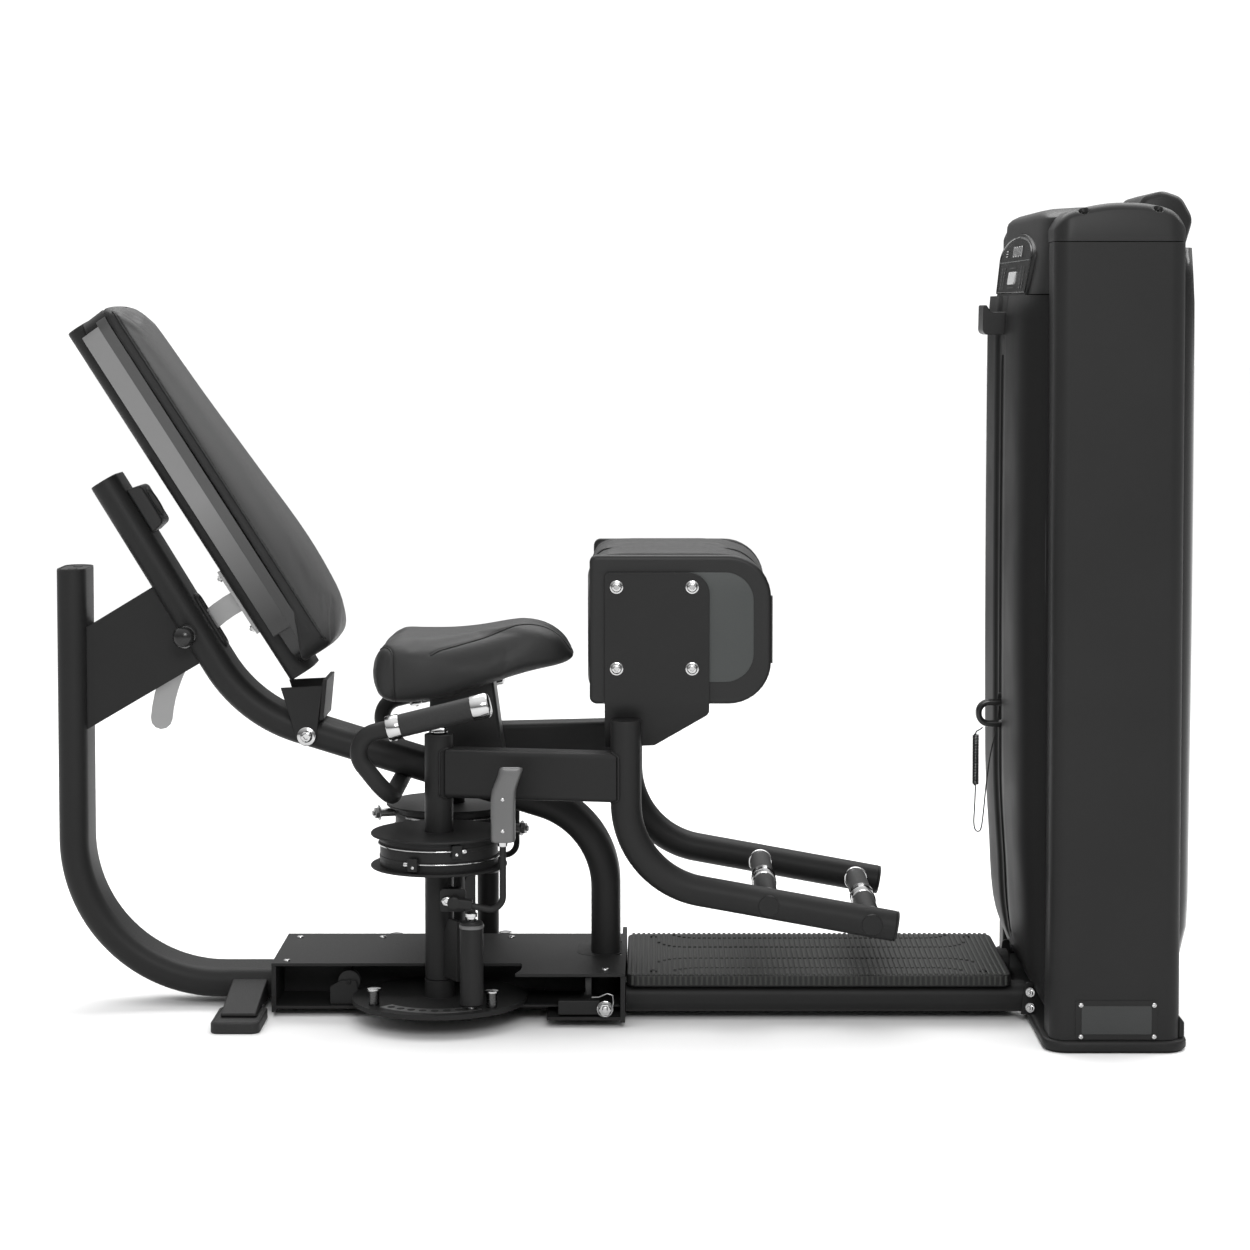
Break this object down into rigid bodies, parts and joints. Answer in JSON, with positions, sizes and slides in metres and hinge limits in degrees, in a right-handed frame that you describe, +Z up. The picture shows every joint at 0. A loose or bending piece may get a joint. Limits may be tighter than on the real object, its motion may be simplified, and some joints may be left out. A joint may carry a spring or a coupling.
{
  "type": "seated hip trainer",
  "caption": "Seated inner and outer thigh trainer: reclining back pad, swinging padded arms with foot bars, and a shrouded weight-stack tower with selector pin.",
  "frame": {"origin": "on the floor under the centre of the bounding box", "axes": "+X from the seat to the weight tower, +Y to the user's left, +Z up"},
  "size_m": [1.9268, 0.752, 1.3974],
  "materials": {
    "powder_coat": "satin black powder coat with fine texture",
    "black_plastic": "moulded, fine grain",
    "black_rubber": "matt moulded rubber",
    "black_vinyl": "upholstery vinyl with soft sheen",
    "grey_shell": "satin mid-grey moulded shell",
    "chrome": "polished",
    "bare_steel": "zinc plated, satin",
    "weight_iron": "painted black",
    "silver_plastic": "silver-grey moulded plastic"
  },
  "bodies": {
    "frame": {"rear_frame_tube": "powder_coat", "seat_tube_bracket": "powder_coat", "seat_frame_tube": "powder_coat", "hub_base_frame": "powder_coat", "hub_cover_plate": "powder_coat", "front_beam": "powder_coat", "handle_bar": "powder_coat", "tower_side_right": "powder_coat", "tower_side_left": "powder_coat", "tower_base_plate": "powder_coat", "foot_platform": "black_plastic", "seat_post": "black_plastic", "tower_top_cap": "black_plastic", "front_shroud": "black_plastic", "rear_shroud": "black_plastic", "display_console": "black_plastic", "accessory_hook": "black_plastic", "pulley_cover": "black_plastic", "rear_foot_pad_right": "black_rubber", "rear_foot_pad_left": "black_rubber", "recline_bumper": "black_rubber", "hand_grip_right": "black_rubber", "hand_grip_left": "black_rubber", "lift_belt": "black_rubber", "seat_cushion": "black_vinyl", "pivot_spindle_right": "chrome", "pivot_spindle_left": "chrome", "guide_rod_right": "chrome", "guide_rod_left": "chrome", "sync_cable_upper": "bare_steel", "sync_cable_lower": "bare_steel", "weight_stack": "weight_iron"},
    "weight_head": {"weight_head": "weight_iron", "tether_lead": "black_rubber", "tether_coil": "black_rubber", "tether_tail": "black_rubber"},
    "selector_pin": {"selector_pin": "black_rubber"},
    "top_pulley": {"top_pulley": "black_plastic"},
    "backrest": {"back_frame": "powder_coat", "back_pad_shell": "grey_shell", "back_pad_cushion": "black_vinyl", "recline_arc": "bare_steel", "backrest_pivot_pin": "chrome"},
    "recline_pull_pin": {"recline_pull_pin": "black_rubber"},
    "right_disc": {"selector_disc_right": "powder_coat"},
    "right_arm": {"arm_frame_right": "powder_coat", "sync_drum_right": "powder_coat", "pad_plate_right": "powder_coat", "pad_shell_right": "black_plastic", "pad_cushion_right": "black_vinyl"},
    "right_lever": {"start_lever_right": "silver_plastic"},
    "right_plunger": {"start_plunger_right": "chrome"},
    "left_disc": {"selector_disc_left": "powder_coat"},
    "left_arm": {"arm_frame_left": "powder_coat", "sync_drum_left": "powder_coat", "pad_plate_left": "powder_coat", "pad_shell_left": "black_plastic", "pad_cushion_left": "black_vinyl"},
    "left_lever": {"start_lever_left": "silver_plastic"},
    "left_plunger": {"start_plunger_left": "chrome"}
  },
  "joints": [
    {"name": "backrest_recline", "type": "hinge", "parent": "frame", "child": "backrest", "pos_m": [-0.534, 0, 0.47], "axis": [0, 1, 0], "range_deg": [-3.5, 10]},
    {"name": "recline_pin_pull", "type": "slide", "parent": "frame", "child": "recline_pull_pin", "axis": [0, -1, 0], "range_m": [0, 0.012], "stiffness_N_per_m": 400, "springref_m": -0.01},
    {"name": "weight_lift", "type": "slide", "parent": "frame", "child": "weight_head", "axis": [0, 0, 1], "range_m": [0, 0.24], "deforming": ["lift_belt"]},
    {"name": "selector_pin_pull", "type": "slide", "parent": "weight_head", "child": "selector_pin", "axis": [-1, 0, 0], "range_m": [0, 0.08]},
    {"name": "pulley_spin", "type": "hinge", "parent": "frame", "child": "top_pulley", "pos_m": [0.849, 0, 1.262], "axis": [0, 1, 0], "range_deg": [0, 280]},
    {"name": "right_disc_swing", "type": "hinge", "parent": "frame", "child": "right_disc", "pos_m": [-0.302, -0.15, 0.04], "axis": [0, 0, -1], "range_deg": [0, 35]},
    {"name": "right_start_adjust", "type": "hinge", "parent": "right_disc", "child": "right_arm", "pos_m": [-0.302, -0.15, 0.3], "axis": [0, 0, -1], "range_deg": [0, 40]},
    {"name": "right_lever_pull", "type": "hinge", "parent": "right_arm", "child": "right_lever", "pos_m": [-0.271, -0.248, 0.221], "axis": [0, -1, 0], "range_deg": [0, 14], "stiffness_Nm_per_rad": 4, "springref_deg": -8.59},
    {"name": "right_plunger_lift", "type": "slide", "parent": "right_arm", "child": "right_plunger", "axis": [0, 0, 1], "range_m": [0, 0.009]},
    {"name": "left_disc_swing", "type": "hinge", "parent": "frame", "child": "left_disc", "pos_m": [-0.302, 0.15, 0.04], "axis": [0, 0, 1], "range_deg": [0, 35]},
    {"name": "left_start_adjust", "type": "hinge", "parent": "left_disc", "child": "left_arm", "pos_m": [-0.302, 0.15, 0.3], "axis": [0, 0, 1], "range_deg": [0, 40]},
    {"name": "left_lever_pull", "type": "hinge", "parent": "left_arm", "child": "left_lever", "pos_m": [-0.271, 0.248, 0.221], "axis": [0, -1, 0], "range_deg": [0, 14], "stiffness_Nm_per_rad": 4, "springref_deg": -8.59},
    {"name": "left_plunger_lift", "type": "slide", "parent": "left_arm", "child": "left_plunger", "axis": [0, 0, 1], "range_m": [0, 0.009]}
  ],
  "couplings": [
    {"joint": "left_disc_swing", "follows": "right_disc_swing", "ratio": 1},
    {"joint": "weight_lift", "follows": "right_disc_swing", "m_per_rad": 0.35},
    {"joint": "pulley_spin", "follows": "right_disc_swing", "ratio": 7.6087},
    {"joint": "left_start_adjust", "follows": "right_start_adjust", "ratio": 1},
    {"joint": "right_plunger_lift", "follows": "right_lever_pull", "m_per_rad": 0.029},
    {"joint": "left_plunger_lift", "follows": "left_lever_pull", "m_per_rad": 0.029}
  ]
}
